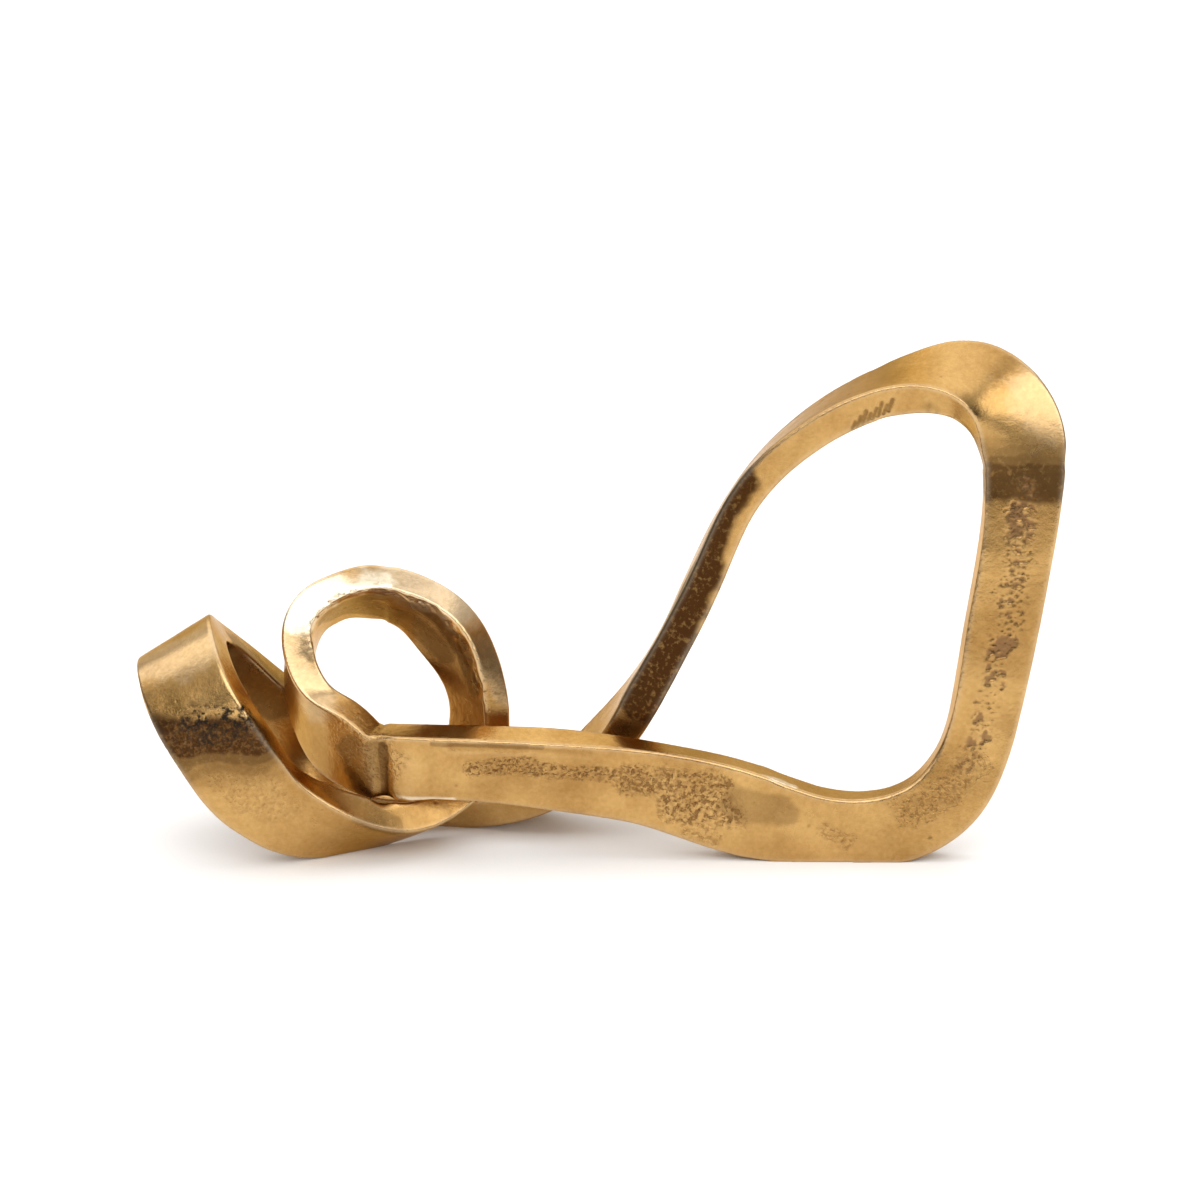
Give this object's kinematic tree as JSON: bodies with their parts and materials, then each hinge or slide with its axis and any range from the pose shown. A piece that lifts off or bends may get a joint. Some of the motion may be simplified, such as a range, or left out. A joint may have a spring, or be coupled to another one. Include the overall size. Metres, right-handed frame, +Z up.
{
  "type": "cast metal knot sculpture",
  "caption": "Free-standing table sculpture: one endless rectangular metal band that rises in a large leaning loop, runs through a small ring and turns over in a side loop, in antique gold.",
  "frame": {"origin": "on the table, under the middle of the footprint box", "axes": "+X from the small ring to the large loop, the sculpture's longest extent; +Y from the front bar to the back, its shortest extent; +Z up"},
  "size_m": [0.3943, 0.0927, 0.2211],
  "materials": {
    "antique_gold_casting": "sand-cast aluminium, hand-dressed, pitted in places, with a rubbed antique gold finish",
    "antique_gold_weld": "weld filler ground flush and file-marked, under the same rubbed antique gold finish"
  },
  "bodies": {
    "root": {"front_bar": "antique_gold_casting", "foot_bend": "antique_gold_casting", "crown_bend": "antique_gold_casting", "rear_strut": "antique_gold_casting", "under_pass": "antique_gold_casting", "side_loop": "antique_gold_casting", "cradle": "antique_gold_casting", "ring_arch": "antique_gold_casting", "ring_cheek": "antique_gold_casting", "weld_crease": "antique_gold_weld", "weld_foot": "antique_gold_weld", "weld_upright": "antique_gold_weld", "weld_crown": "antique_gold_weld", "weld_rear": "antique_gold_weld", "weld_back": "antique_gold_weld", "weld_side": "antique_gold_weld", "weld_wall": "antique_gold_weld", "weld_arch": "antique_gold_weld"}
  },
  "joints": []
}
